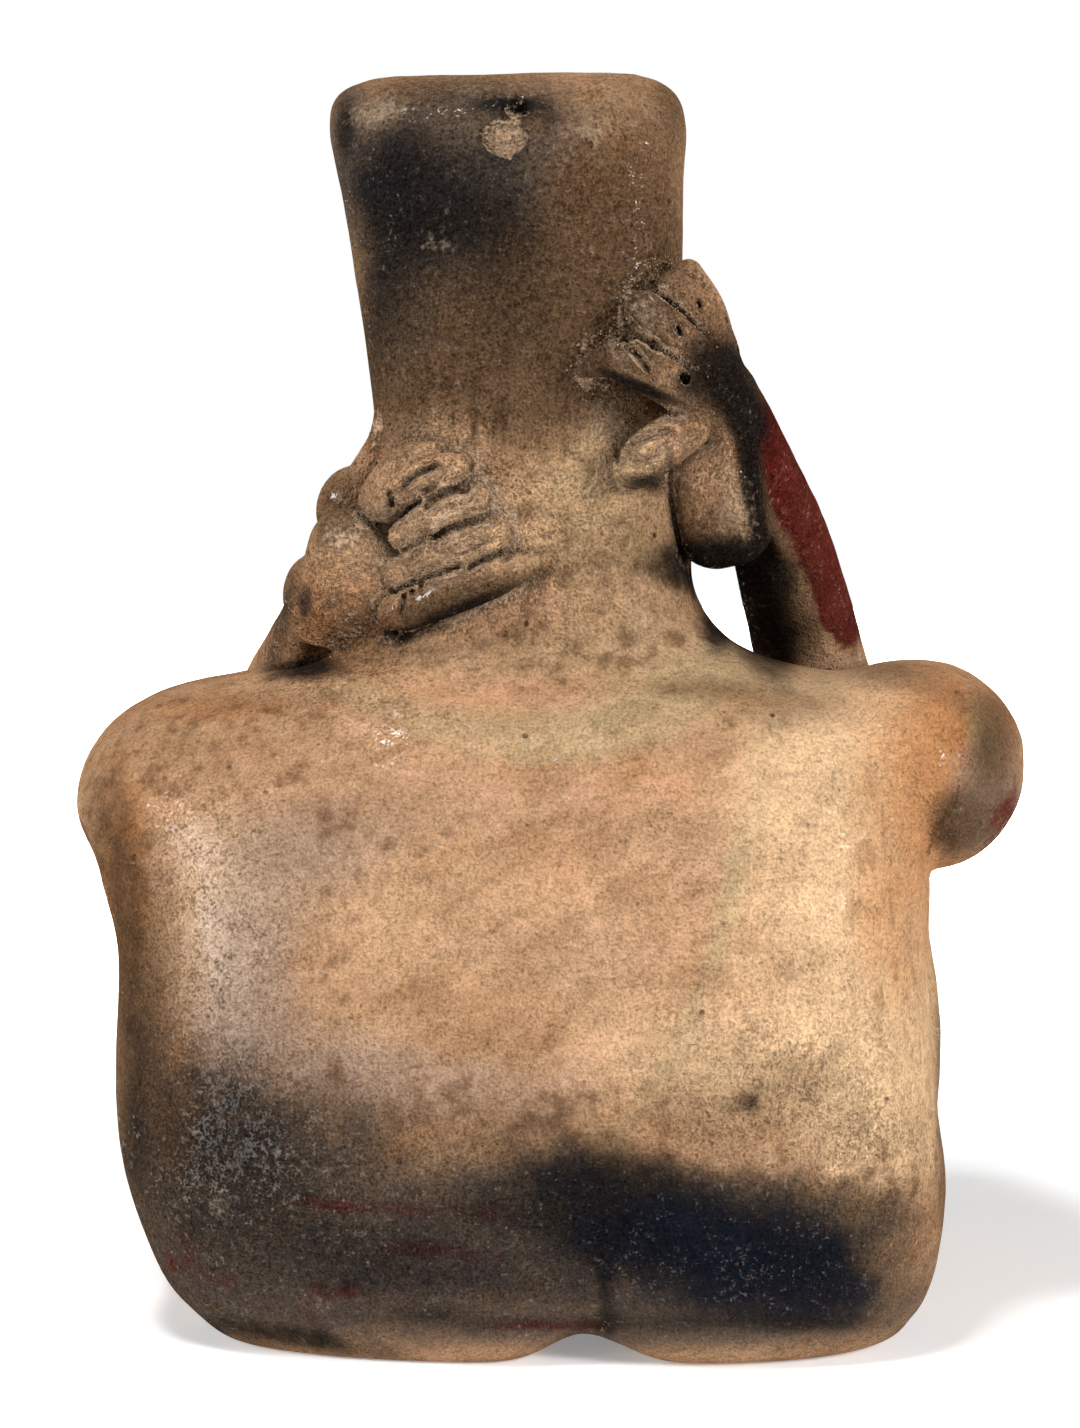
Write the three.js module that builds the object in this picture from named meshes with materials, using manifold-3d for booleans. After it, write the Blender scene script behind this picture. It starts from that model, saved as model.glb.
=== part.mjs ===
// A crouching figure in low-fired clay, built up by hand: it sits on its haunches with the knees
// drawn up, the elbows resting on the knees and both hands laid flat on the back of a tall head.
// Millimetres, +Z up. The face looks along -Y, so the back and the hands are on the +Y side, and
// the figure's left hand is on the +X side. The origin is on the ground under the bounding box.

import * as THREE from "three";
import { mergeVertices } from "three/addons/utils/BufferGeometryUtils.js";
import Module from "manifold-3d";

// Driving dimensions
const FIGURE_HEIGHT = 400;
const VENT_WIDTH = 15;
const VENT_HEIGHT = 18;
const VENT_DEPTH = 8;
const EAR_HOLLOW_DEPTH = 5;
const MOUTH_DEPTH = 2.5;

// The pose and the proportions are shares of the height, counted in four-hundredths of it.
const SHARES = 400;
const UNIT = FIGURE_HEIGHT / SHARES;
const GROUND_SINK = 6;

// Where the middle of the outline lies, counted from the neck
const MIDDLE = { across: -6.2, deep: -44.5 };

const wasm = await Module();
wasm.setup();

const point = (x, y, z) =>
  new THREE.Vector3(x - MIDDLE.across, y - MIDDLE.deep, z).multiplyScalar(UNIT);

// A closed mesh as a solid for the booleans
function solid(geometry) {
  const bare = geometry.clone();
  bare.deleteAttribute("normal");
  bare.deleteAttribute("uv");
  const merged = mergeVertices(bare, 1e-3);
  return new wasm.Manifold(
    new wasm.Mesh({
      numProp: 3,
      vertProperties: merged.attributes.position.array,
      triVerts: new Uint32Array(merged.index.array),
    }),
  );
}

// A sphere whose every vertex is put in its own place by place(angle, ring)
function mapped(sides, rings, place) {
  const geometry = new THREE.SphereGeometry(1, sides, rings).rotateX(Math.PI / 2);
  const position = geometry.attributes.position;
  const way = new THREE.Vector3();
  for (let i = 0; i < position.count; i += 1) {
    way.fromBufferAttribute(position, i);
    const ring = Math.round((Math.acos(-THREE.MathUtils.clamp(way.z, -1, 1)) / Math.PI) * rings);
    const angle = ring === 0 || ring === rings ? 0 : Math.atan2(way.y, way.x);
    const put = place(angle, ring);
    position.setXYZ(i, put.x, put.y, put.z);
  }
  return geometry;
}

// Smooth interpolation of equally spaced values, t from 0 to 1
function smooth(values, t) {
  const last = values.length - 1;
  const whole = Math.min(Math.floor(t * last), last - 1);
  const part = t * last - whole;
  const [a, b, c, d] = [-1, 0, 1, 2].map((k) => values[Math.min(Math.max(whole + k, 0), last)]);
  const bend = 2 * a - 5 * b + 4 * c - d + part * (3 * (b - c) + d - a);
  return b + 0.5 * part * (c - a + part * bend);
}

const bump = (distance, reach) => Math.exp(-((distance / reach) ** 2));
const power = (value, exponent) => Math.sign(value) * Math.abs(value) ** exponent;

// Seat, back, shoulders, neck and head in one column of rounded sections, up to the crown.
// Each row: height, left edge, right edge, back face, front face, squareness.
const COLUMN = [
  [-GROUND_SINK, 0, 0, 4, 4, 2.4],
  [-GROUND_SINK, 66, -74, 44, -34, 2.6],
  [-2, 96, -111, 64, -48, 2.9],
  [8, 108.5, -124, 73, -55, 3],
  [24, 119.5, -130, 80, -60, 3.1],
  [52, 128.8, -132.5, 86, -65, 3.2],
  [88, 131, -130.5, 88, -68, 3.2],
  [122, 130, -128, 86, -67, 3.2],
  [147, 137, -128, 82, -63, 3],
  [167, 145, -130, 76, -58, 2.8],
  [185, 140, -129, 67, -52, 2.7],
  [199, 123, -122, 56, -46, 2.5],
  [208, 94, -103, 46, -42, 2.4],
  [215, 70, -75, 41, -40, 2.4],
  [227, 57, -57, 38, -42, 2.4],
  [246, 50, -49, 36, -46, 2.5],
  [268, 49.5, -45.5, 34, -48, 2.6],
  [294, 51.5, -46, 33, -46, 2.7],
  [322, 54.5, -47.5, 32.5, -42, 2.8],
  [350, 58.5, -48.2, 32, -38, 2.9],
  [370, 62.5, -48.4, 31, -36, 3],
  [384, 64.6, -48.8, 28, -33, 3],
  [394, 61, -45, 20, -27, 2.8],
  [400, 46, -34, 7, -17, 2.6],
  [400, 7, 7, -6, -6, 2.4],
];
const COLUMN_SIDES = 34;
const COLUMN_RINGS = 34;
const columns = COLUMN[0].map((_, k) => COLUMN.map((row) => row[k]));
function section(t) {
  const [height, left, right, back, front, square] = columns.map((values) => smooth(values, t));
  return {
    height: Math.min(height, SHARES),
    middle: (left + right) / 2,
    half: Math.max((left - right) / 2, 0),
    centre: (back + front) / 2,
    thick: (back - front) / 2,
    square,
  };
}

// The seat's cleft, off the middle, the higher right half of the seat, and the spine's valley
const CLEFT = { across: -21, reach: 19, lift: 14, hollow: 7, height: 46 };
const RIGHT_SEAT_LIFT = 3;
const SPINE = { reach: 34, height: 120, spread: 52, hollow: 4 };

function column() {
  return mapped(COLUMN_SIDES, COLUMN_RINGS, (angle, ring) => {
    const s = section(ring / COLUMN_RINGS);
    const across = s.middle + s.half * power(Math.cos(angle), 2 / s.square);
    const deep = s.centre + s.thick * power(Math.sin(angle), 2 / s.square);
    const behind = THREE.MathUtils.smoothstep(deep, -20, 50);
    const near = behind * bump(across - CLEFT.across, CLEFT.reach);
    const low = bump(Math.max(s.height, 0), CLEFT.height);
    const right = behind * THREE.MathUtils.smoothstep(-across, -CLEFT.across, 60);
    const lifted = near * CLEFT.lift + right * RIGHT_SEAT_LIFT;
    const lift = bump(s.height + GROUND_SINK, CLEFT.height / 2) * lifted;
    const spine = behind * bump(across, SPINE.reach) * bump(s.height - SPINE.height, SPINE.spread);
    const hollow = near * low * CLEFT.hollow + spine * SPINE.hollow;
    return point(across, deep - hollow, s.height + lift);
  });
}

// How deep the column's face lies at a place across and a height: way 1 is its back, on which
// the fingers lie, and way -1 its front, on which the eyes do
const LADDER_STEPS = 400;
const LADDER = Array.from({ length: LADDER_STEPS + 1 }, (_, i) => section(i / LADDER_STEPS));
function skin(across, height, way) {
  const nearer = (best, one) =>
    Math.abs(one.height - height) < Math.abs(best.height - height) ? one : best;
  const s = LADDER.reduce(nearer);
  const share = Math.min(Math.abs(across - s.middle) / s.half, 0.97);
  return s.centre + way * s.thick * (1 - share ** s.square) ** (1 / s.square);
}

// A round-ended limb along a smooth line; each stop is [x, y, z, radius]
const X_AXIS = new THREE.Vector3(1, 0, 0);
const Y_AXIS = new THREE.Vector3(0, 1, 0);
function limb(stops, sides, rings, across = X_AXIS) {
  const path = new THREE.CatmullRomCurve3(stops.map(([x, y, z]) => point(x, y, z)));
  const radii = stops.map((stop) => stop[3]);
  const capRings = Math.max(2, Math.floor(rings / 5));
  return mapped(sides, rings, (angle, ring) => {
    const low = Math.min(ring / capRings, 1);
    const high = Math.min((rings - ring) / capRings, 1);
    const t = THREE.MathUtils.clamp((ring - capRings) / (rings - 2 * capRings), 0, 1);
    const radius = UNIT * smooth(radii, t);
    const tangent = path.getTangent(t);
    const side = across.clone().addScaledVector(tangent, -across.dot(tangent)).normalize();
    const up = tangent.clone().cross(side);
    const wide = radius * Math.sin((Math.min(low, high) * Math.PI) / 2);
    const beyond = radius * (Math.cos((high * Math.PI) / 2) - Math.cos((low * Math.PI) / 2));
    return path
      .getPoint(t)
      .addScaledVector(tangent, beyond)
      .addScaledVector(side, wide * Math.cos(angle))
      .addScaledVector(up, wide * Math.sin(angle));
  });
}

// An egg of clay pressed on: centre, half sizes, turns about X, Y and Z in degrees
function lump(centre, halves, turns = [0, 0, 0], sides = 11, rings = 8) {
  const [a, b, c] = turns.map(THREE.MathUtils.degToRad);
  return new THREE.SphereGeometry(1, sides, rings)
    .rotateX(Math.PI / 2)
    .scale(...halves.map((half) => half * UNIT))
    .applyMatrix4(new THREE.Matrix4().makeRotationFromEuler(new THREE.Euler(a, b, c)))
    .translate(...point(...centre).toArray());
}

// Arms: a thick upper arm from the shoulder forward to the elbow, which rests on the knee, and a
// forearm back to the head
const KNEE = { across: 105, deep: -108, height: 126 };
const elbow = (side) => [side * (KNEE.across - 2), KNEE.deep - 6, KNEE.height + 40, 20];
const RIGHT_ELBOW = elbow(-1);
const LEFT_ELBOW = elbow(1);
const arms = [
  limb([[-119, 14, 183, 32], [-124, -10, 182, 35], [-115, -66, 174, 27], RIGHT_ELBOW], 12, 9),
  limb([RIGHT_ELBOW, [-89, -74, 212, 18], [-78, -38, 255, 16], [-61, 8, 298, 11.5]], 10, 9),
  limb([[108, 14, 170, 32], [112, -10, 170, 33], [108, -66, 168, 27], LEFT_ELBOW], 12, 9),
  limb([LEFT_ELBOW, [91, -72, 192, 17], [74, -26, 219, 16], [60, 14, 235, 15]], 10, 9),
];

// Fingers lie on the back of the head: base across and height, tip across and height, radius
const RIGHT_FINGERS = [
  [-47, 299, -24, 309, 7],
  [-51, 306, -39, 321, 6.6],
  [-54, 312, -45, 329, 5.8],
  [-57, 315, -49, 334, 5],
  [-49, 289, -33, 278, 7.4],
];
const LEFT_FINGERS = [
  [42, 271, 20, 276, 6],
  [40, 257, 14, 265, 6],
  [38, 245, 9, 256, 6.2],
  [38, 232, 2, 245, 6.8],
];
const FINGER_RISE = 3;
function finger([baseX, baseZ, tipX, tipZ, radius]) {
  const stops = [0, 0.5, 1].map((share) => {
    const x = THREE.MathUtils.lerp(baseX, tipX, share);
    const z = THREE.MathUtils.lerp(baseZ, tipZ, share);
    return [x, skin(x, z, 1) + FINGER_RISE, z, radius];
  });
  return limb(stops, 7, 6, Y_AXIS);
}
const hands = [
  lump([-55, 18, 301], [11, 15, 16], [0, -20, 30]),
  lump([52, 26, 241], [16, 15, 21], [0, 30, -30]),
  ...RIGHT_FINGERS.map(finger),
  ...LEFT_FINGERS.map(finger),
];

// Legs: thigh up to the knee, shin down to a paddle of a foot with five toes
const leg = (side) => [
  limb(
    [
      [side * 98, -14, 48, 36],
      [side * 104, -60, 82, 33],
      [side * KNEE.across, KNEE.deep, KNEE.height, 27],
    ],
    11,
    9,
  ),
  limb(
    [
      [side * KNEE.across, KNEE.deep, KNEE.height, 26],
      [side * 105, -116, 76, 23],
      [side * 103, -110, 22, 20],
    ],
    11,
    8,
  ),
  lump([side * 103, -130, 6], [24, 40, 18], [0, 0, side * -4]),
];
const TOES = { count: 5, spacing: 9.4, root: -146, tip: -170, radius: 5.6 };
const toes = (side) =>
  Array.from({ length: TOES.count }, (_, k) => {
    const spread = (k - (TOES.count - 1) / 2) * TOES.spacing;
    const short = 1.4 * (k - 1) ** 2;
    return limb(
      [
        [side * (101 + spread * 0.8), TOES.root, 8, TOES.radius],
        [side * (101 + spread), TOES.tip + short, 6, TOES.radius],
      ],
      6,
      5,
    );
  });

// Face: cheeks and jaw, a long nose, rimmed eyes and lips
const FACE_MIDDLE = 2;
const EYE = { across: 19, height: 288, rise: 0.2, turn: 14, wide: 11, high: 5.2, rim: 0.24 };
const MOUTH = { height: 248.3, deep: -57, wide: 12, high: 1.4 };
function eye(side) {
  const across = FACE_MIDDLE + side * EYE.across;
  const deep = skin(FACE_MIDDLE + EYE.across, EYE.height, -1) - EYE.rise;
  return new THREE.TorusGeometry(1, EYE.rim, 4, 12)
    .scale(EYE.wide * UNIT, EYE.high * UNIT, EYE.wide * UNIT)
    .rotateX(Math.PI / 2)
    .rotateZ(THREE.MathUtils.degToRad(side * EYE.turn))
    .translate(...point(across, deep, EYE.height).toArray());
}
function lip(left, middle, right, radius, rise) {
  const z = MOUTH.height + rise;
  const stops = [
    [left, MOUTH.deep + 7.5, z, 2.6],
    [FACE_MIDDLE, MOUTH.deep + 2.25, z + middle, radius],
    [right, MOUTH.deep + 7.5, z, 2.6],
  ];
  return limb(stops, 6, 6, Y_AXIS);
}
const face = [
  lump([FACE_MIDDLE, -20, 254], [50, 33, 30], [0, 0, 0], 16, 10),
  lump([FACE_MIDDLE, -46, 236], [16, 11, 8]),
  limb([[FACE_MIDDLE, -44, 306, 4.5], [FACE_MIDDLE, -54, 284, 5.5], [FACE_MIDDLE, -59, 266, 7.5]], 7, 6),
  lump([FACE_MIDDLE, -56, 263], [11, 6.5, 5.5]),
  lip(-14, 1.5, 18, 3.6, 2.7),
  lip(-12, -1.5, 16, 3.8, -2.3),
  eye(-1),
  eye(1),
];

// Ears, each hollowed a little in front
const EARS = [
  { centre: [-61, 2, 263], halves: [17, 13, 21.5], turn: -8 },
  { centre: [57, -4, 264], halves: [12, 12, 14.5], turn: 10 },
];
const ears = EARS.map(({ centre, halves, turn }) => lump(centre, halves, [0, 0, turn]));
const earHollows = EARS.map(({ centre: [x, y, z], halves: [wide, deep, high], turn }) =>
  new THREE.SphereGeometry(1, 9, 6)
    .scale(wide * 0.55 * UNIT, EAR_HOLLOW_DEPTH, high * 0.6 * UNIT)
    .rotateZ(THREE.MathUtils.degToRad(turn))
    .translate(...point(x + Math.sign(x) * 3, y - deep, z).toArray()),
);

// The vent in the back of the crown, and the line between the lips
const VENT = { across: 4, height: 379 };
const vent = () =>
  new THREE.SphereGeometry(1, 10, 6)
    .scale(VENT_WIDTH / 2, VENT_DEPTH, VENT_HEIGHT / 2)
    .translate(...point(VENT.across, skin(VENT.across, VENT.height, 1), VENT.height).toArray());
const mouth = () =>
  new THREE.SphereGeometry(1, 10, 6)
    .scale(MOUTH.wide * UNIT, MOUTH_DEPTH, MOUTH.high * UNIT)
    .translate(...point(FACE_MIDDLE, MOUTH.deep, MOUTH.height).toArray());

// Everything under the ground plane is cut away, which leaves the flat seat and soles
function ground() {
  const side = 2 * FIGURE_HEIGHT;
  return new THREE.BoxGeometry(side, side, side).translate(0, 0, -side / 2);
}

function figure() {
  const clay = [
    column(),
    ...arms,
    ...hands,
    ...leg(-1),
    ...leg(1),
    ...toes(-1),
    ...toes(1),
    ...face,
    ...ears,
  ];
  const joined = clay.map(solid).reduce((sum, piece) => sum.add(piece));
  const cuts = [vent(), mouth(), ...earHollows, ground()];
  const mesh = cuts.map(solid).reduce((rest, cut) => rest.subtract(cut), joined).getMesh();
  const geometry = new THREE.BufferGeometry()
    .setAttribute("position", new THREE.BufferAttribute(mesh.vertProperties, mesh.numProp))
    .setIndex(new THREE.BufferAttribute(mesh.triVerts, 1));
  geometry.computeVertexNormals();
  return geometry;
}

const clayMaterial = new THREE.MeshStandardMaterial({
  color: 0xa37c58,
  roughness: 0.55,
  metalness: 0,
});
const crouchingFigure = new THREE.Mesh(figure(), clayMaterial);
crouchingFigure.name = "crouching_figure";

const part = new THREE.Group();
part.add(crouchingFigure);

export default part;
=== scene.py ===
import math

import bpy
import numpy as np
from mathutils import Matrix, Vector, noise


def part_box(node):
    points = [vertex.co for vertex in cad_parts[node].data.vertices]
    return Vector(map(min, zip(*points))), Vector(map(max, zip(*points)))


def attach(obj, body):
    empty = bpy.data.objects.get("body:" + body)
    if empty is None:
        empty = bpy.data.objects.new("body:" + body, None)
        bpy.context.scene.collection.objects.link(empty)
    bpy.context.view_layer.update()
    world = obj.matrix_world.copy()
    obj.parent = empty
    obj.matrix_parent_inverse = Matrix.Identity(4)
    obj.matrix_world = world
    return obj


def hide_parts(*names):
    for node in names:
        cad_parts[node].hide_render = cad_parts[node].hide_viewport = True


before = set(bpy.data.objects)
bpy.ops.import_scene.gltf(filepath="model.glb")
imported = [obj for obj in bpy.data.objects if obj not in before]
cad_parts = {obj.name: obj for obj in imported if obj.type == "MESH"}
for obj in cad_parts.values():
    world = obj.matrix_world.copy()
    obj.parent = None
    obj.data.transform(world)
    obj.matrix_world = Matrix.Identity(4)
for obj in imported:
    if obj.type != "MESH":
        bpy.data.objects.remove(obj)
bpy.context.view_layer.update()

# Camera
# The photograph looks at the figure's back from a little above and a little to its right. The
# camera stands about three of the figure's heights away, with a long lens.
PHOTO_WIDE, PHOTO_HIGH = 1080, 1428
CAMERA_LENS = 89.9
CAMERA_SENSOR = 36.0
CAMERA_DISTANCE = 1.15
CAMERA_AZIMUTH = math.radians(176)
CAMERA_ELEVATION = math.radians(5)
CAMERA_AIM = Vector((0.0037, 0.0445, 0.1959))

camera_data = bpy.data.cameras.new("camera")
camera_data.lens = CAMERA_LENS
camera_data.sensor_width = CAMERA_SENSOR
camera = bpy.data.objects.new("camera", camera_data)
bpy.context.scene.collection.objects.link(camera)
camera_forward = Vector((
    math.sin(CAMERA_AZIMUTH) * math.cos(CAMERA_ELEVATION),
    math.cos(CAMERA_AZIMUTH) * math.cos(CAMERA_ELEVATION),
    -math.sin(CAMERA_ELEVATION),
))
camera.location = CAMERA_AIM - camera_forward * CAMERA_DISTANCE
camera.rotation_mode = "QUATERNION"
camera.rotation_quaternion = camera_forward.to_track_quat("-Z", "Y")
bpy.context.scene.camera = camera


# Body of clay
# One hollow body of coiled and smoothed clay, from the seat up through the shoulders and the
# neck to the flat crown. It is worked as a block of distances, in four-hundredths of the
# figure's height, in which a place inside the clay counts below nought.
SHARES = 400
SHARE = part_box("crouching_figure")[1].z / SHARES
MIDDLE = np.array([-6.2, -44.5, 0.0])
COARSE, FINE = 1.7, 0.62
# Each axis: the block's two ends, and the stretch round the hands that is worked finely
BLOCK = [(-164, 156, -68, 62), (-184, 98, 14, 52), (-6, 406, 226, 344)]


def ticks(low, high, fine_low, fine_high):
    return np.concatenate([
        np.arange(low, fine_low, COARSE),
        np.arange(fine_low, fine_high, FINE),
        np.arange(fine_high, high, COARSE),
    ]).astype(np.float32)


axes = [ticks(*ends) for ends in BLOCK]

# Each row: height, left edge, right edge, back face, front face, squareness
COLUMN = np.array([
    [-6, 66, -74, 44, -34, 2.6],
    [-2, 96, -111, 64, -48, 2.9],
    [8, 108.5, -124, 73, -55, 3],
    [24, 119.5, -130, 80, -60, 3.1],
    [52, 128.8, -132.5, 86, -65, 3.2],
    [88, 131, -129, 88, -68, 3.2],
    [122, 130, -125.8, 86, -67, 3.2],
    [147, 137, -128, 82, -63, 3],
    [167, 145, -130, 76, -58, 2.8],
    [185, 140, -129, 67, -52, 2.7],
    [199, 123, -122, 56, -46, 2.5],
    [208, 101, -103, 46, -42, 2.4],
    [215, 70, -75, 41, -40, 2.4],
    [227, 57, -57, 38, -42, 2.4],
    [246, 50, -49, 36, -46, 2.5],
    [268, 49.5, -45.5, 34, -48, 2.6],
    [294, 51.5, -46, 33, -46, 2.7],
    [322, 54.5, -47.5, 32.5, -42, 2.8],
    [350, 58.5, -48.2, 32, -38, 2.9],
    [370, 62.5, -48.4, 31, -36, 3],
    [384, 64.6, -48.8, 28, -33, 3],
    [394, 61, -45, 20, -27, 2.8],
    [400, 46, -34, 7, -17, 2.6],
])
CLEFT = {"across": -21, "reach": 19, "lift": 14, "hollow": 7, "height": 46}
RIGHT_SEAT_LIFT = 3
GROUND_SINK = 6
SPINE = {"reach": 34, "height": 120, "spread": 52, "hollow": 4}
SEAT_ROUND = 9
CROWN_ROUND = 3


def catmull(values, t):
    """Smooth interpolation of equally spaced rows, t from 0 to 1"""
    last = len(values) - 1
    whole = np.minimum((t * last).astype(int), last - 1)
    part = (t * last - whole)[:, None]
    a, b, c, d = (values[np.clip(whole + k, 0, last)] for k in (-1, 0, 1, 2))
    bend = 2 * a - 5 * b + 4 * c - d + part * (3 * (b - c) + d - a)
    return b + 0.5 * part * (c - a + part * bend)


def smoothstep(value, low, high):
    share = np.clip((value - low) / (high - low), 0, 1)
    return share * share * (3 - 2 * share)


def bump(distance, reach):
    return np.exp(-((distance / reach) ** 2))


def join(a, b, blend):
    """Two clays pressed together, with a fillet of about blend between them"""
    near = np.maximum(blend - np.abs(a - b), 0) / blend
    return np.minimum(a, b) - near * near * blend / 4


def cut(a, b, blend):
    """Only what is in both a and b, with the edge between them rounded"""
    return -join(-a, -b, blend)


def column():
    x, y, z = np.meshgrid(*axes, indexing="ij", sparse=True)
    rows = catmull(COLUMN, np.linspace(0, 1, 801))
    sections = [np.interp(z, rows[:, 0], rows[:, k]).astype(np.float32) for k in range(1, 6)]
    left, right, back, front, square = sections
    half, thick = (left - right) / 2, (back - front) / 2
    u = np.maximum(np.abs(x - (left + right) / 2) / half, 1e-3)
    v = np.maximum(np.abs(y - (back + front) / 2) / thick, 1e-3)
    q = (u**square + v**square) ** (1 / square)
    slope = np.hypot(u ** (square - 1) / half, v ** (square - 1) / thick) * q ** (1 - square)
    distance = (q - 1) / slope
    distance /= np.sqrt(1 + np.gradient(distance, axes[2], axis=2) ** 2)
    behind = smoothstep(y, -20, 50)
    near = behind * bump(x - CLEFT["across"], CLEFT["reach"])
    low = bump(np.maximum(z, 0), CLEFT["height"])
    spine = behind * bump(x, SPINE["reach"]) * bump(z - SPINE["height"], SPINE["spread"])
    distance += near * low * CLEFT["hollow"] + spine * SPINE["hollow"]
    right_seat = behind * smoothstep(-x, -CLEFT["across"], 60) * RIGHT_SEAT_LIFT
    underside = near * CLEFT["lift"] + right_seat - GROUND_SINK - z
    return cut(cut(distance, underside, SEAT_ROUND), z - SHARES, CROWN_ROUND)


clay = column()


# How far past a piece of clay the block is worked: for a fillet, and for a scoop
FILLET_ROOM = 14
SCOOP_ROOM = 6


def around(places, reach):
    """The part of the block within reach of the places, and its coordinates"""
    places = np.atleast_2d(places)
    region = []
    for k, axis in enumerate(axes):
        first, last = np.searchsorted(axis, [places[:, k].min() - reach, places[:, k].max() + reach])
        region.append(slice(first, last))
    near = [axis[part] for axis, part in zip(axes, region)]
    return tuple(region), np.meshgrid(*near, indexing="ij", sparse=True)


def back_face(across, height):
    """How far back the clay reaches at a place across and a height"""
    i, k = (int(np.argmin(np.abs(axis - place))) for axis, place in ((axes[0], across), (axes[2], height)))
    line = clay[i, :, k]
    j = np.flatnonzero(line < 0)[-1]
    share = line[j] / (line[j] - line[j + 1])
    return float(axes[1][j] + share * (axes[1][j + 1] - axes[1][j]))


def limb(stops, blend, steps=20):
    """Presses a round-ended roll of clay on, along a smooth line of [x, y, z, radius] stops"""
    rows = catmull(np.array(stops, float), np.linspace(0, 1, steps))
    region, (x, y, z) = around(rows[:, :3], rows[:, 3].max() + FILLET_ROOM)
    roll = np.full(np.broadcast_shapes(x.shape, y.shape, z.shape), 1e3, np.float32)
    for a, b in zip(rows[:-1], rows[1:]):
        way = b[:3] - a[:3]
        t = ((x - a[0]) * way[0] + (y - a[1]) * way[1] + (z - a[2]) * way[2]) / (way @ way)
        t = np.clip(t, 0, 1)
        gap = sum((place - a[k] - t * way[k]) ** 2 for k, place in enumerate((x, y, z)))
        roll = np.minimum(roll, np.sqrt(gap) - (a[3] + t * (b[3] - a[3])))
    width = blend(z) if callable(blend) else blend
    clay[region] = join(clay[region], roll, width)


def turned(x, y, z, centre, turns):
    """Coordinates in a frame of its own, turned about X, then Y, then Z, in degrees"""
    a, b, c = (math.radians(turn) for turn in turns)
    matrix = Matrix.Rotation(a, 3, "X") @ Matrix.Rotation(b, 3, "Y") @ Matrix.Rotation(c, 3, "Z")
    dx, dy, dz = x - centre[0], y - centre[1], z - centre[2]
    return [row[0] * dx + row[1] * dy + row[2] * dz for row in matrix.transposed()]


def egg(x, y, z, centre, halves, turns):
    u, v, w = turned(x, y, z, centre, turns)
    a, b, c = halves
    k0 = np.sqrt((u / a) ** 2 + (v / b) ** 2 + (w / c) ** 2)
    k1 = np.sqrt((u / a**2) ** 2 + (v / b**2) ** 2 + (w / c**2) ** 2)
    return k0 * (k0 - 1) / np.maximum(k1, 1e-4)


def lump(centre, halves, turns=(0, 0, 0), blend=4.0):
    """Presses an egg of clay on"""
    region, (x, y, z) = around(centre, max(halves) + FILLET_ROOM)
    clay[region] = join(clay[region], egg(x, y, z, centre, halves, turns), blend)


def scoop(centre, halves, turns=(0, 0, 0), blend=1.0):
    """Takes an egg of clay away"""
    region, (x, y, z) = around(centre, max(halves) + SCOOP_ROOM)
    clay[region] = cut(clay[region], -egg(x, y, z, centre, halves, turns), blend)


# Arms
# Thick rolls pressed into the shoulders, run forward to the knees and back up to the head.
# The right one stands out from the back behind a crease, and the left one is smoothed in.
KNEE = {"across": 105, "deep": -108, "height": 126}
RIGHT_ELBOW = [-103, -114, 166, 20]
LEFT_ELBOW = [103, -114, 166, 20]


def right_shoulder_blend(z):
    return 2.2 + 12 * smoothstep(z, 196, 218)


limb([[-118, 14, 181, 31.5], [-125, -10, 179, 34], [-115, -66, 173, 27], RIGHT_ELBOW], right_shoulder_blend)
limb([[106, 12, 170, 30], [110, -10, 170, 31], [108, -66, 168, 27], LEFT_ELBOW], 12)
limb([RIGHT_ELBOW, [-89, -74, 212, 18], [-78, -38, 255, 16], [-61, 8, 298, 11.5]], 3)
limb([LEFT_ELBOW, [91, -72, 192, 17], [72.5, -26, 219, 15.5], [60, 14, 236, 14]], 4)


# Legs
# Thigh, shin and a paddle of a foot with five toes on each side. They are rolls and lumps of
# the same clay, drawn up in front of the body and pressed to it.
TOES = {"count": 5, "spacing": 9.4, "root": -146, "tip": -170, "radius": 5.6}
for side in (-1, 1):
    knee = [side * KNEE["across"], KNEE["deep"], KNEE["height"]]
    limb([[side * 96, -14, 48, 35], [side * 101, -60, 82, 33], knee + [27]], 9)
    limb([knee + [26], [side * 105, -116, 76, 23], [side * 103, -110, 22, 20]], 6)
    lump((side * 103, -130, 6), (24, 40, 18), (0, 0, side * -4), 6)
    for toe in range(TOES["count"]):
        spread = (toe - (TOES["count"] - 1) / 2) * TOES["spacing"]
        short = 1.4 * (toe - 1) ** 2
        root = [side * (101 + spread * 0.8), TOES["root"], 8, TOES["radius"]]
        tip = [side * (101 + spread), TOES["tip"] + short, 6, TOES["radius"]]
        limb([root, tip], 1.5, steps=4)
        scoop((tip[0], tip[1] - 1, 11.6), (3.0, 3.4, 1.2))


# Face
# Calm and plain: full cheeks and a small jaw, a long nose, rimmed eyes and closed lips. They
# are rolls and pellets of clay pressed on, and the mouth and nostrils are poked in.
FACE_MIDDLE = 2
EYE = {"across": 19, "height": 288, "deep": -45.5, "turn": 14, "wide": 11, "high": 5.2, "rim": 2.2}
MOUTH = {"height": 248.3, "deep": -57, "wide": 12, "high": 1.0}
lump((FACE_MIDDLE, -20, 254), (50, 33, 30), blend=12)
lump((FACE_MIDDLE, -46, 236), (16, 11, 8), blend=7)
limb([[FACE_MIDDLE, -44, 306, 4.5], [FACE_MIDDLE, -54, 284, 5.5], [FACE_MIDDLE, -59, 266, 7.5]], 3)
lump((FACE_MIDDLE, -56, 263), (11, 6.5, 5.5), blend=2.5)
limb([[-14, -50, 251, 2.6], [FACE_MIDDLE, -55, 252.5, 3.6], [18, -50, 251, 2.6]], 2)
limb([[-12, -49, 246, 2.6], [FACE_MIDDLE, -54, 244.5, 3.8], [16, -49, 246, 2.6]], 2)
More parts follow.
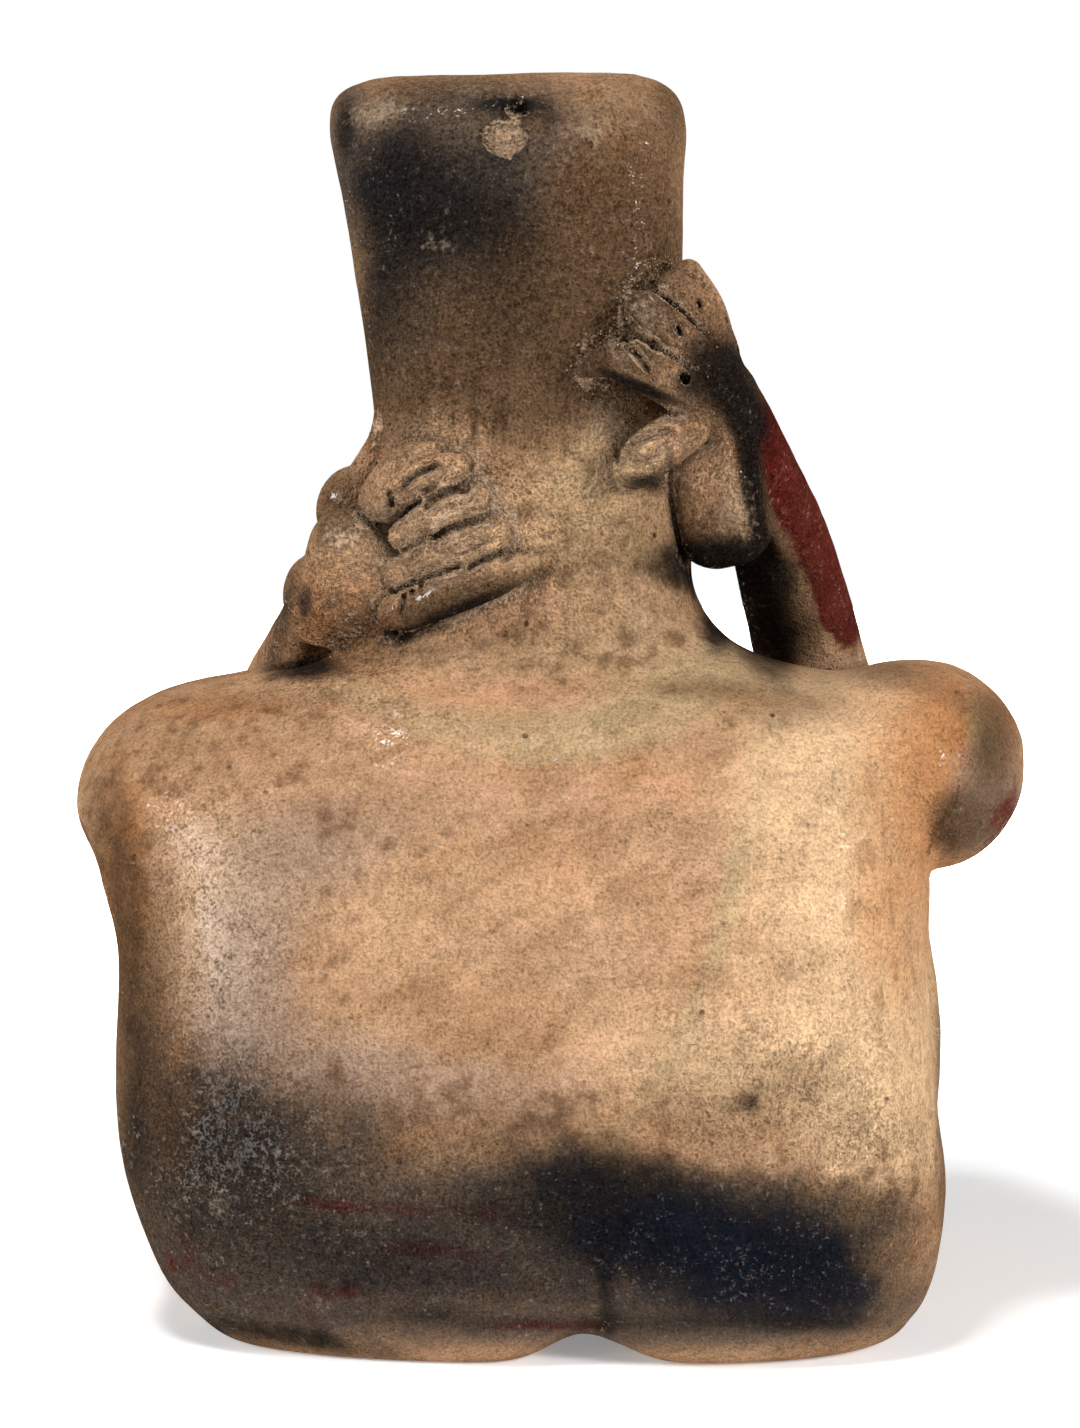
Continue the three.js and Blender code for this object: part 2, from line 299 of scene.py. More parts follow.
scoop((FACE_MIDDLE, MOUTH["deep"], MOUTH["height"]), (MOUTH["wide"], 2.5, MOUTH["high"]), blend=0.6)
for side in (-1, 1):
    eye_place = (FACE_MIDDLE + side * EYE["across"], EYE["deep"], EYE["height"])
    region, (x, y, z) = around(eye_place, EYE["wide"] + 8)
    u, v, w = turned(x, y, z, eye_place, (0, 0, side * EYE["turn"]))
    from_rim = (np.hypot(u / EYE["wide"], w / EYE["high"]) - 1) * EYE["high"]
    clay[region] = join(clay[region], np.hypot(from_rim, v * 0.8) - EYE["rim"], 1.5)
    lump(eye_place, (EYE["wide"] * 0.6, 3.4, EYE["high"] * 0.5), (0, 0, side * EYE["turn"]), 1.0)
    scoop((FACE_MIDDLE + side * 4.6, -61.5, 260.5), (2.2, 3, 1.6))


# Ears
# A thick squared block on the right, bedded on the forearm by a thin ledge of clay, and a
# smaller egg on the left. A narrow crack runs between the right one and the neck.
def block(centre, halves, turns, rounding, blend):
    """Presses a block of clay with rounded edges on"""
    region, (x, y, z) = around(centre, max(halves) + 10)
    places = turned(x, y, z, centre, turns)
    over = [np.abs(place) - half + rounding for place, half in zip(places, halves)]
    outside = np.sqrt(sum(np.maximum(gap, 0) ** 2 for gap in over))
    inside = np.minimum(np.maximum(np.maximum(over[0], over[1]), over[2]), 0)
    clay[region] = join(clay[region], outside + inside - rounding, blend)


RIGHT_EAR = (-60.5, 2, 263.5)
LEFT_EAR = (58.2, -4, 261.5)
block(RIGHT_EAR, (15.4, 14, 20.5), (0, 12, -8), 12.6, 1.6)
lump(LEFT_EAR, (12.6, 12, 14.5), (0, 0, 10), 1.2)
limb([[46.5, 10, 291, 3.6], [48.5, 8, 282, 5], [53, 3, 273, 6.5]], 3)
limb([[-66, 4, 283, 2.0], [-74, -10, 262, 2.6], [-80, -24, 246, 2.2]], 1.5)
for ear, halves in ((RIGHT_EAR, (8, 5, 12)), (LEFT_EAR, (7, 5, 9))):
    scoop((ear[0] + math.copysign(3, ear[0]), ear[1] - 12.5, ear[2]), halves, blend=2)
scoop((-46.3, 20, 262), (1.0, 10, 15), (0, 5, 0))
scoop((48.6, 18, 289), (2.0, 5, 3.0))


# Hands
# Slabs laid over the back of the head, with rolled fingers pressed side by side. The left
# hand's little finger and the right hand's forefinger stand off the head, so a deep shadow lies
# under them, and the right thumb lies apart.
lump((54, 21.5, 243), (15.5, 13.5, 21), (0, 22, -24), 7)
lump((66, 8, 232), (12, 13, 16), (0, 20, -20), 6)
lump((-55, 17, 303), (11.5, 13, 14), (0, -35, 30), 5)
# Each finger: across, deep, height, radius, from root to tip
LEFT_FINGERS = [
    [(45, 28, 266, 8.2), (37.5, 32, 276, 7.0), (28, 33, 280.5, 4.0)],
    [(40.5, 33, 270, 7.4), (30, 38.5, 273.9, 6.1), (19.5, 38.5, 276.4, 4.8)],
    [(38.5, 33, 254.4, 5.0), (25, 39.5, 262.6, 5.0), (14.2, 39.5, 266.2, 4.5)],
    [(39, 31.5, 243, 5.6), (22, 39, 250.6, 6.3), (9.5, 38.5, 255.8, 5.6)],
    [(40, 33, 229.8, 6.4), (22, 41, 236.8, 6.7), (5.5, 40, 243.2, 5.3), (-7, 36.5, 247, 1.8)],
]
RIGHT_FINGERS = [
    [(-52, 30, 297, 7.0), (-40, 38, 304.6, 7.3), (-28.6, 38, 309.2, 6.4), (-18.2, 34.5, 305.2, 1.8)],
    [(-56, 25, 306, 6.6), (-45.4, 33.5, 316.8, 6.8), (-37, 35, 324.6, 5.8)],
    [(-61, 17, 312, 5.2), (-53.4, 26, 323.8, 5.6), (-46.3, 29.5, 332, 4.8)],
    [(-61, 10, 314, 4.8), (-56, 16, 326, 5.0), (-50.4, 21.5, 336.3, 4.2)],
    [(-51, 29, 288, 7.0), (-41.5, 36, 282, 8.2), (-34, 36.5, 275.8, 6.8)],
]
for row in LEFT_FINGERS + RIGHT_FINGERS:
    limb(row, 0.9, steps=12)

# Nails are cut with a pointed tool: an oval ring, deepest along its upper edge, round a plate
# with a ridge. Each row: across, height, half length, half width, turn, the ring's depth
NAILS = [
    (31.4, 271.4, 7.6, 3.2, 30, 1.3),
    (23.0, 265.6, 6.8, 2.9, 20, 1.6),
    (18.0, 254.2, 10.0, 4.4, 21, 1.9),
    (10.4, 245.8, 6.6, 3.2, 25, 1.5),
    (-38.6, 282.0, 8.2, 3.6, 27, 2.0),
    (-33.4, 308.6, 6.4, 3.6, -42, 0.7),
]
NAIL_TOOL = 0.8


def nail(across, height, long, wide, turn, depth):
    deep = back_face(across, height)
    reach = np.array([long + 2, 5.0, long + 2])
    region, (x, y, z) = around(np.array([across, deep, height]) + [-reach, reach], 0)
    c, s = math.cos(math.radians(turn)), math.sin(math.radians(turn))
    right, up = across - x, z - height
    along, over = right * c + up * s, up * c - right * s
    ring = np.hypot(along / long, over / wide)
    upper = 1 + 0.9 * smoothstep(over, 0, wide * 0.8)
    cutting = depth * upper * bump((ring - 1) * wide, NAIL_TOOL)
    plate = 0.9 * (1 - smoothstep(ring, 0.75, 1.0))
    plate -= 0.9 * bump(over, 0.7) * (1 - smoothstep(ring, 0.5, 0.8))
    plate -= 0.7 * bump((ring - 1.45) * wide, 1.1)
    clay[region] += cutting + plate


for row in NAILS:
    nail(*row)


def groove(path, width, depth):
    """Draws a tool along a path of (across, height) places on the back"""
    deeps = [back_face(*place) for place in path]
    for (x0, z0), (x1, z1) in zip(path[:-1], path[1:]):
        ends = [[x0, min(deeps), z0], [x1, max(deeps), z1]]
        region, (x, y, z) = around(ends, 3 * width + 3)
        length = (x1 - x0) ** 2 + (z1 - z0) ** 2
        t = np.clip(((x - x0) * (x1 - x0) + (z - z0) * (z1 - z0)) / length, 0, 1)
        away = np.hypot(x - x0 - t * (x1 - x0), z - z0 - t * (z1 - z0))
        worked[region] = np.maximum(worked[region], depth * bump(away, width))


# Slots and holes poked in the soft clay. Each row: the path, the tool's width and its depth.
POKES = [
    ([(36.8, 270.6), (32.8, 274.0), (30.0, 275.0), (27.1, 277.2)], 0.9, 2.0),
    ([(29.8, 263.4), (28.6, 266.4), (25.4, 268.4), (22.0, 269.0)], 0.8, 1.1),
    ([(27.4, 253.8), (22.6, 257.0), (18.0, 258.2), (13.0, 260.0)], 0.9, 1.2),
    ([(16.6, 244.6), (14.0, 246.8), (11.4, 248.0)], 0.8, 1.1),
    ([(-30.9, 314.3), (-35.3, 310.6), (-38.6, 306.5)], 1.2, 4.6),
    ([(-47.4, 319.2), (-48.4, 317.2)], 1.2, 4.4),
    ([(-53.4, 327.2), (-54.2, 325.4)], 1.0, 3.2),
    ([(-33.6, 320.9), (-34.1, 319.9)], 1.0, 3.4),
    ([(-40.2, 314.4), (-41.0, 313.2)], 1.1, 3.6),
    ([(-49.2, 304.0), (-50.2, 302.6)], 1.2, 4.0),
    ([(41.4, 268.0), (41.2, 264.4)], 0.8, 3.0),
    ([(31.7, 239.0), (31.5, 238.8)], 0.8, 2.4),
    ([(34.5, 237.3), (34.3, 237.1)], 0.8, 2.4),
    ([(10.7, 240.0), (10.5, 239.9)], 0.9, 2.4),
    ([(37.0, 236.0), (37.8, 231.5)], 0.8, 2.0),
    ([(41.6, 223.4), (39.0, 222.4)], 1.8, 5.0),
    ([(-28.6, 281.4), (-29.8, 274.6)], 0.7, 1.6),
]
worked = np.zeros_like(clay)
for path, width, depth in POKES:
    groove(path, width, depth)
clay += worked
scoop((70.5, 8, 213.5), (12.5, 15, 5.6), (0, 9, 0), 1.2)


# Vent
# A small hole let the steam out of the hollow head. It was filled later with coarse clay,
# which has crumbled at its edge and left a pit.
VENT = {"across": 6.4, "height": 381.0, "wide": 8.0, "high": 9.6, "depth": 2.6}
PIT = {"across": 2.2, "height": 387.0, "wide": 4.8, "high": 3.0, "depth": 5.5}
for hole in (VENT, PIT):
    hole_place = (hole["across"], back_face(hole["across"], hole["height"]), hole["height"])
    scoop(hole_place, (hole["wide"], hole["depth"], hole["high"]), blend=0.8)


# Old breaks
# The neck was once broken off and set back with a band of filler, which stands a little proud
# over the shoulders. The back has a few pits where grains of temper have fallen out.
REPAIR_BAND = [(63, 210), (41, 204), (19, 197), (-9, 193), (-34, 200), (-52, 213), (-72, 209)]
NECK_CRACK = [(58, 206), (36, 199), (16, 192), (-9, 188), (-36, 194), (-60, 203), (-88, 206)]
SEAT_LINE = [(60, 11), (36, 15), (10, 17), (-9, 19)]
ARM_CREASE = [(-135, 205), (-134.5, 192), (-136, 183), (-133, 172.5), (-127, 164.5), (-125, 156)]
PITS = [(-66, 83, 3.2), (-72, 79, 2.4), (-61, 88, 1.8), (-73, 61, 2.0), (-83, 70, 1.4), (-48, 96, 1.5)]
worked[:] = 0
groove(NECK_CRACK, 1.6, 0.9)
groove(SEAT_LINE, 1.8, 1.2)
groove(ARM_CREASE, 1.7, 2.2)
clay += worked
worked[:] = 0
groove(REPAIR_BAND, 9, 0.9)
clay -= worked
del worked
for across, height, radius in PITS:
    scoop((across, back_face(across, height) + radius * 0.35, height), (radius, radius, radius * 0.8))


# Skin of the clay
# The outer surface of the block, drawn as one closed mesh, flat where it stands. A shaping hand
# leaves it slightly uneven, and burnishing with a pebble leaves faint facets.
SKIN_TRIANGLES = 196000
SMOOTHINGS = 2
# Each unevenness: wavelengths across and up, and its depth
UNEVEN = [(46, 46, 1.1), (14, 26, 0.4), (6, 9, 0.16)]


CORNERS = [(i, j, k) for i in (0, 1) for j in (0, 1) for k in (0, 1)]


def surface(field):
    """Vertices and quads of the surface where the field crosses nought"""
    inside = field < 0
    cells = np.zeros([n - 1 for n in field.shape], np.uint8)
    for corner in CORNERS:
        cells += inside[tuple(slice(a, n - 1 + a) for a, n in zip(corner, field.shape))]
    active = np.argwhere((cells > 0) & (cells < 8))
    number = np.full(cells.shape, -1, np.int32)
    number[tuple(active.T)] = np.arange(len(active))
    total = np.zeros((len(active), 3))
    count = np.zeros(len(active))
    for axis in range(3):
        for corner in CORNERS:
            if corner[axis]:
                continue
            start = active + corner
            end = start.copy()
            end[:, axis] += 1
            a, b = field[tuple(start.T)], field[tuple(end.T)]
            crossed = np.flatnonzero((a < 0) != (b < 0))
            start, end = start[crossed], end[crossed]
            share = a[crossed] / (a[crossed] - b[crossed])
            for k in range(3):
                place = axes[k][start[:, k]]
                total[crossed, k] += place + share * (axes[k][end[:, k]] - place)
            count[crossed] += 1
    quads = []
    for axis in range(3):
        u, v = (axis + 1) % 3, (axis + 2) % 3
        low, high = [slice(None)] * 3, [slice(None)] * 3
        low[axis], high[axis] = slice(0, -1), slice(1, None)
        nodes = np.argwhere(inside[tuple(low)] != inside[tuple(high)])
        ring = []
        for du, dv in ((-1, -1), (0, -1), (0, 0), (-1, 0)):
            cell = nodes.copy()
            cell[:, u] += du
            cell[:, v] += dv
            ring.append(number[tuple(cell.T)])
        ring = np.stack(ring, 1)
        inward = ~inside[tuple(nodes.T)]
        ring[inward] = ring[inward][:, ::-1]
        quads.append(ring)
    return total / count[:, None], np.concatenate(quads)


clay = np.maximum(clay, -np.meshgrid(*axes, indexing="ij", sparse=True)[2])
vertices, quads = surface(clay)
ends = np.concatenate([quads[:, [k, (k + 1) % 4]] for k in range(4)])
degree = np.bincount(ends.ravel(), minlength=len(vertices))
for _ in range(SMOOTHINGS):
    for k in range(3):
        mean = np.bincount(ends[:, 0], vertices[ends[:, 1], k], len(vertices))
        mean += np.bincount(ends[:, 1], vertices[ends[:, 0], k], len(vertices))
        vertices[:, k] = (vertices[:, k] + mean / degree) / 2

wet = bpy.data.meshes.new("wet_clay")
wet.from_pydata(vertices.tolist(), [], quads.tolist())
figure = bpy.data.objects.new("clay_figure", wet)
bpy.context.scene.collection.objects.link(figure)
thin = figure.modifiers.new("thin", "DECIMATE")
thin.ratio = min(1.0, SKIN_TRIANGLES / (2 * len(quads)))
skin = bpy.data.meshes.new_from_object(figure.evaluated_get(bpy.context.evaluated_depsgraph_get()))
figure.modifiers.clear()
figure.data = skin
skin.name = "clay_figure"
bpy.data.meshes.remove(wet)


def read(collection, name, size):
    values = np.empty(len(collection) * size, np.float32)
    collection.foreach_get(name, values)
    return values.reshape(-1, size)


places = read(skin.vertices, "co", 3)
normals = read(skin.vertex_normals, "vector", 3)


def waves(across, up):
    """Smooth random heights over the skin, of about a size across and up"""
    return np.array([noise.noise(place) for place in (places / (across, across, up)).tolist()])


for across, up, depth in UNEVEN:
    fade = smoothstep(places[:, 2], 0, 8)
    places += normals * (waves(across, up) * depth * fade)[:, None]

# A place is hollow where clay lies close in front of it
HOLLOW_REACH = 5
CREASE_REACH = 2


def clay_near(points):
    """The block's distance at any places"""
    firsts, shares = [], []
    for k, axis in enumerate(axes):
        first = np.clip(np.searchsorted(axis, points[:, k]) - 1, 0, len(axis) - 2)
        firsts.append(first)
        shares.append((points[:, k] - axis[first]) / (axis[first + 1] - axis[first]))
    total = np.zeros(len(points))
    for corner in CORNERS:
        weight = np.prod([share if step else 1 - share for share, step in zip(shares, corner)], axis=0)
        total += weight * clay[tuple(first + step for first, step in zip(firsts, corner))]
    return total


hollow = 1 - clay_near(places + normals * HOLLOW_REACH) / HOLLOW_REACH
# The same measure at a shorter reach sets the painted shade in the creases
crease_shade = 1 - clay_near(places + normals * CREASE_REACH) / CREASE_REACH
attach(figure, "root")
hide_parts("crouching_figure")


# Clay finish
# Warm buff clay, burnished and fired in the open: smoke and blue-black fire clouds where the
# fuel touched it, traces of red slip, brown mottles, and earth dried into the hollows. The smoke
# and brown colours also paint shade: painted shadows under the fingers and the right ear, on
# the inner side of the right forearm and on the shaded right side of the neck, and painted
# shade in the creases.
BUFF = (0.46, 0.275, 0.152)
TAN = (0.35, 0.19, 0.098)
ROSE = (0.50, 0.26, 0.155)
PALE = (0.66, 0.44, 0.25)
ORANGE = (0.40, 0.17, 0.062)
VIOLET = (0.27, 0.195, 0.15)
MORTAR = (0.38, 0.295, 0.16)
RUSSET = (0.13, 0.062, 0.028)
# Dark brown for stains and pits, and for painted shade under fingers and on the neck's shaded side
BROWN_AND_SHADE = (0.062, 0.036, 0.019)
ASH = (0.057, 0.048, 0.041)
# Near black for smoke, and for the painted shadows under fingers and ears and in creases
SMOKE_AND_SHADE = (0.0085, 0.0075, 0.0072)
CLOUD = (0.0065, 0.0078, 0.0125)
SLIP = (0.085, 0.010, 0.008)
EARTH = (0.56, 0.372, 0.24)
SPECK = (0.24, 0.165, 0.10)
DUST = (0.27, 0.195, 0.13)
ROUGH = {"worn": 0.7, "burnished": 0.45, "earth": 0.95}
SHINE = 0.0
SHEEN_ROUGHNESS = 0.27

# Where each look lies on the back, in the photograph's pixels: the middle's place across and
# down, the half sizes, the turn in degrees and the strength
SEEN = {
    "ash": [
        (440, 165, 110, 80, 0, 0.85), (400, 280, 46, 90, 0, 0.5), (345, 140, 20, 70, 0, 0.8),
        (560, 110, 60, 30, 0, 0.4), (420, 1250, 240, 70, 0, 0.95), (240, 1180, 110, 110, 0, 0.65),
        (560, 1220, 120, 66, 0, 0.7), (760, 1305, 170, 40, 0, 1.0), (300, 1300, 140, 40, 0, 0.8),
        (710, 1240, 170, 60, 0, 0.9), (140, 1150, 26, 120, 0, 0.2), (250, 1010, 50, 80, 0, 0.15),
        (600, 1330, 200, 20, 0, 0.7), (360, 1140, 30, 40, 0, 0.5),
    ],
    # Smoke, and painted shadows under the fingers, under the right ear and inside the right forearm
    "smoke_and_shade": [
        (400, 180, 42, 62, 0, 0.8), (440, 215, 80, 50, 10, 0.8), (400, 285, 34, 60, 0, 0.6),
        (455, 150, 50, 30, 0, 0.4), (375, 350, 14, 70, 0, 0.4), (508, 104, 34, 9, 0, 0.9),
        (546, 118, 12, 18, 0, 0.7), (515, 275, 66, 60, 0, 0.4), (490, 340, 70, 40, 0, 0.3),
        (500, 200, 40, 50, 0, 0.35), (345, 128, 10, 30, 0, 0.8), (230, 1150, 100, 74, 12, 0.6),
        (320, 1240, 140, 50, 5, 0.45), (420, 1262, 120, 36, 0, 0.4), (134, 1070, 16, 170, 0, 0.4),
        (560, 1185, 76, 30, 10, 0.6), (620, 1225, 66, 50, 0, 0.8), (740, 1248, 134, 54, 5, 0.95),
        (650, 1172, 60, 26, 15, 0.5), (640, 1322, 100, 12, 0, 0.6), (604, 1260, 8, 70, -3, 0.8),
        (480, 1195, 90, 20, 5, 0.4), (300, 1338, 110, 12, 10, 0.8), (800, 1322, 80, 12, 0, 0.7),
        (600, 1190, 60, 40, 10, 0.5), (450, 1318, 90, 14, 3, 0.5), (510, 1222, 70, 16, 5, 0.5),
        (282, 620, 9, 60, 15, 0.6), (310, 668, 36, 13, -5, 1.0), (320, 500, 22, 34, 0, 0.3),
        (716, 380, 30, 40, 40, 1.0), (744, 410, 22, 40, -30, 1.0), (728, 572, 72, 26, 5, 1.0),
        (726, 556, 50, 16, 0, 0.9), (676, 500, 5, 50, -8, 0.6), (757, 520, 9, 60, -14, 1.0),
        (716, 610, 16, 44, 0, 1.0), (750, 462, 12, 60, -10, 0.9), (752, 615, 30, 50, -14, 1.0),
        (772, 632, 26, 50, -14, 1.0), (745, 588, 40, 24, -5, 1.0), (988, 742, 14, 26, 0, 0.3),
        (751, 1102, 10, 8, 0, 0.5), (395, 530, 7, 50, 0, 0.2), (458, 612, 66, 9, -23, 1.0),
        (400, 636, 16, 8, 0, 0.9), (638, 386, 42, 6, 22, 1.0), (644, 482, 24, 9, 5, 0.9),
        (419, 541, 26, 6, -28, 1.0), (200, 1100, 60, 50, 0, 0.3), (472, 468, 4, 9, 0, 0.8),
        (520, 113, 12, 8, 0, 0.8), (492, 503, 4, 10, 0, 0.8), (670, 470, 22, 10, -40, 0.6),
        (704, 356, 16, 30, -40, 0.7), (950, 842, 12, 16, 0, 0.5), (700, 384, 26, 9, 5, 0.8),
    ],
    "cloud": [
        (742, 1250, 108, 44, 5, 1.0), (650, 1230, 56, 44, 0, 0.7), (820, 1272, 50, 30, 0, 0.7),
        (575, 1180, 60, 24, 20, 0.4), (305, 602, 9, 20, 0, 0.8), (380, 170, 30, 50, 0, 0.35),
        (560, 1230, 50, 34, 0, 0.3), (420, 1285, 140, 16, 3, 0.45), (290, 1230, 60, 30, 0, 0.3),
        (660, 1296, 130, 20, 0, 0.45), (790, 1304, 90, 18, 0, 0.6), (500, 1262, 110, 30, 3, 0.35),
    ],
    # Brown clay, and painted shade under the fingers, below the right ear and on the neck's right side
    "brown_and_shade": [
        (480, 260, 140, 140, 0, 0.95), (530, 285, 66, 110, 0, 0.9), (465, 355, 90, 50, 0, 0.9),
        (640, 270, 50, 120, 0, 0.8), (390, 390, 30, 80, 0, 0.6), (570, 365, 70, 50, 0, 0.75),
        (560, 200, 90, 60, 0, 0.75), (600, 290, 60, 90, 0, 0.5), (400, 345, 50, 50, 0, 0.6),
        (530, 430, 60, 30, 0, 0.4), (560, 640, 140, 30, -8, 0.3), (640, 110, 50, 60, 0, 0.4),
        (150, 1060, 40, 200, 0, 0.6), (240, 1130, 150, 80, 10, 0.35), (420, 1180, 200, 34, 0, 0.5),
        (190, 1270, 60, 60, 30, 0.5), (100, 830, 26, 70, 0, 0.55), (992, 745, 26, 56, 0, 0.85),
        (122, 920, 16, 110, 0, 0.7), (138, 1000, 18, 90, 0, 0.5), (955, 822, 26, 34, 0, 0.95),
        (340, 505, 34, 44, 0, 0.7), (765, 500, 16, 70, -15, 0.8), (465, 600, 80, 10, -20, 0.7),
        (945, 1080, 10, 150, 0, 0.8), (740, 1192, 150, 22, 6, 0.8), (930, 690, 60, 16, 20, 0.4),
        (715, 330, 20, 50, -30, 0.3), (890, 1260, 50, 70, 0, 0.55), (560, 1135, 90, 34, 8, 0.5),
        (450, 100, 100, 22, 0, 0.8), (690, 490, 30, 80, -8, 0.15), (770, 480, 20, 60, -15, 0.7),
        (600, 560, 60, 40, 0, 0.4), (250, 1150, 120, 90, 10, 0.5), (460, 1140, 120, 30, 5, 0.3),
        (805, 625, 20, 36, -15, 0.8), (722, 556, 60, 34, 0, 0.9), (760, 400, 34, 44, -30, 0.95),
        (440, 600, 80, 18, -20, 0.8), (390, 650, 40, 14, 0, 0.4), (300, 1290, 200, 50, 8, 0.5),
        (285, 600, 18, 70, 12, 0.5), (330, 662, 50, 14, 0, 0.5), (372, 590, 12, 50, 0, 0.35),
        (640, 394, 50, 8, 26, 0.7), (640, 490, 30, 9, 10, 0.5), (690, 560, 10, 60, -8, 0.3),
        (240, 700, 120, 14, 0, 0.35), (740, 360, 40, 50, -30, 0.7), (750, 1102, 16, 12, 0, 0.9),
        (1000, 830, 40, 34, -20, 0.6), (790, 706, 70, 26, 0, 0.5), (674, 108, 16, 44, 0, 0.6),
        (700, 688, 60, 12, 0, 0.55), (870, 670, 50, 16, 0, 0.5), (350, 1135, 40, 40, 0, 0.4),
        (840, 1215, 50, 30, 10, 0.5),
    ],
    "dusty": [
        (640, 300, 26, 30, -40, 0.5), (600, 420, 34, 18, 0, 0.9), (615, 345, 14, 26, -40, 0.5),
        (375, 520, 20, 30, 0, 0.6), (350, 630, 30, 30, 0, 0.25), (580, 160, 50, 30, 0, 0.3),
        (378, 112, 32, 15, -8, 0.8), (440, 244, 26, 9, 8, 0.5), (470, 92, 120, 10, 0, 0.4),
        (600, 125, 40, 16, 0, 0.5), (218, 1200, 14, 24, 0, 0.5), (420, 1262, 90, 20, 2, 0.2),
        (200, 1110, 24, 34, 0, 0.4), (300, 1165, 50, 14, 10, 0.35), (640, 1300, 40, 8, 0, 0.3),
        (345, 500, 10, 18, 0, 0.3), (735, 505, 26, 36, -10, 0.6), (700, 340, 10, 14, 0, 0.4),
        (180, 1180, 20, 60, 0, 0.3), (640, 330, 30, 30, -40, 0.4), (470, 330, 60, 30, 0, 0.25),
        (330, 610, 20, 30, 0, 0.4), (280, 1290, 80, 14, 12, 0.3),
    ],
    "pale": [
        (450, 540, 90, 60, 0, 0.7), (600, 480, 60, 40, 0, 0.3), (610, 420, 34, 26, 0, 0.9),
        (640, 300, 40, 30, -40, 0.6), (440, 430, 60, 20, 0, 0.4), (850, 900, 100, 220, 0, 0.9),
        (880, 1040, 60, 150, 0, 0.8), (800, 760, 80, 80, 0, 0.4), (700, 1070, 110, 60, 0, 0.6),
        (460, 930, 200, 130, 0, 0.35), (215, 920, 50, 110, 0, 0.5), (600, 110, 80, 20, 0, 0.3),
        (380, 112, 36, 22, 0, 0.5), (600, 480, 60, 50, 0, 0.3), (900, 1120, 60, 60, 0, 0.6),
        (740, 965, 10, 8, 0, 0.8), (766, 1162, 7, 9, 0, 1.0), (340, 600, 40, 60, 0, 0.4),
        (735, 500, 20, 40, -10, 0.5),
    ],
    "orange": [
        (450, 545, 80, 60, 0, 0.45), (340, 620, 50, 60, 0, 0.7), (885, 800, 40, 130, 0, 0.6),
        (230, 706, 90, 16, 0, 0.6), (122, 880, 24, 110, 0, 0.9), (965, 750, 50, 60, 0, 0.8),
        (880, 960, 30, 80, 0, 0.4), (975, 760, 30, 60, 0, 0.5), (780, 700, 60, 14, 0, 0.4),
        (938, 790, 26, 110, 0, 0.8), (915, 880, 26, 150, 0, 0.5), (690, 688, 70, 10, 6, 0.8),
        (500, 690, 130, 30, 0, 0.2), (640, 790, 60, 50, 0, 0.4), (600, 170, 70, 60, 0, 0.6),
        (950, 748, 24, 34, 0, 0.8), (450, 810, 120, 60, 0, 0.25), (780, 850, 30, 60, 0, 0.2),
        (130, 900, 16, 90, 0, 0.5), (520, 330, 80, 60, 0, 0.2), (370, 425, 12, 30, 0, 0.8),
        (560, 870, 60, 40, 0, 0.25), (470, 1000, 100, 60, 0, 0.2), (420, 710, 60, 30, 0, 0.3),
    ],
    "violet": [
        (330, 840, 110, 40, 0, 0.5), (245, 1000, 60, 130, 0, 0.8), (300, 870, 60, 60, 0, 0.5),
        (330, 1070, 90, 50, 0, 0.7), (990, 800, 40, 60, 0, 0.9), (560, 960, 110, 50, 0, 0.35),
        (460, 1090, 140, 40, 0, 0.6), (590, 820, 70, 50, 0, 0.35), (430, 790, 80, 40, 0, 0.3),
        (700, 860, 40, 60, 0, 0.3), (640, 640, 60, 40, 0, 0.3), (480, 660, 60, 20, 0, 0.3),
    ],
    "mortar": [
        (350, 690, 50, 18, 15, 0.6), (420, 715, 70, 24, 12, 0.6), (500, 735, 90, 26, 5, 0.6),
        (590, 735, 100, 30, -8, 0.7), (665, 700, 80, 34, -20, 0.8), (705, 670, 50, 26, -30, 0.8),
        (790, 685, 80, 20, 0, 0.6), (755, 800, 24, 110, 8, 0.6), (726, 910, 16, 80, 12, 0.7),
        (692, 1020, 18, 60, 15, 0.65), (648, 1095, 18, 50, 20, 0.6), (616, 1170, 14, 50, 5, 0.8),
        (618, 1270, 8, 60, -3, 0.5), (988, 742, 16, 34, 0, 0.8), (800, 600, 24, 46, -20, 0.7),
        (620, 600, 90, 70, 0, 0.45), (975, 720, 14, 30, 0, 0.7), (640, 650, 90, 40, 0, 0.5),
        (600, 490, 90, 80, 0, 0.75), (500, 660, 90, 24, 0, 0.5),
    ],
    "slip": [
        (808, 520, 24, 100, -18, 1.0), (795, 470, 26, 56, -20, 1.0), (840, 605, 18, 34, -15, 0.9),
        (485, 1212, 60, 14, 3, 0.5), (560, 1325, 80, 8, 0, 0.5), (1004, 825, 20, 40, 0, 0.4),
        (430, 1252, 90, 12, 3, 0.4), (330, 1206, 70, 12, 3, 0.55), (340, 1290, 120, 12, 10, 0.4),
        (180, 1250, 30, 40, 20, 0.3), (1000, 850, 40, 10, -20, 0.5), (1008, 770, 12, 60, 0, 0.3),
        (260, 1300, 90, 16, 20, 0.35), (835, 580, 16, 60, -16, 0.9),
    ],
    "earth": [
        (450, 530, 66, 74, -15, 1.0), (506, 138, 21, 25, 0, 1.0), (650, 330, 36, 42, -30, 0.65),
        (600, 480, 50, 40, 0, 0.3), (650, 455, 40, 30, -20, 0.6), (345, 590, 44, 60, 0, 0.65),
        (712, 500, 20, 30, 0, 0.4), (344, 535, 20, 12, 0, 0.9), (755, 1110, 80, 50, 0, 0.3),
        (560, 590, 50, 16, -15, 0.5), (375, 425, 10, 26, 0, 0.9), (590, 380, 16, 16, 0, 0.6),
        (608, 426, 30, 16, 10, 0.8), (735, 486, 22, 36, -10, 0.5), (690, 440, 36, 26, 0, 0.6),
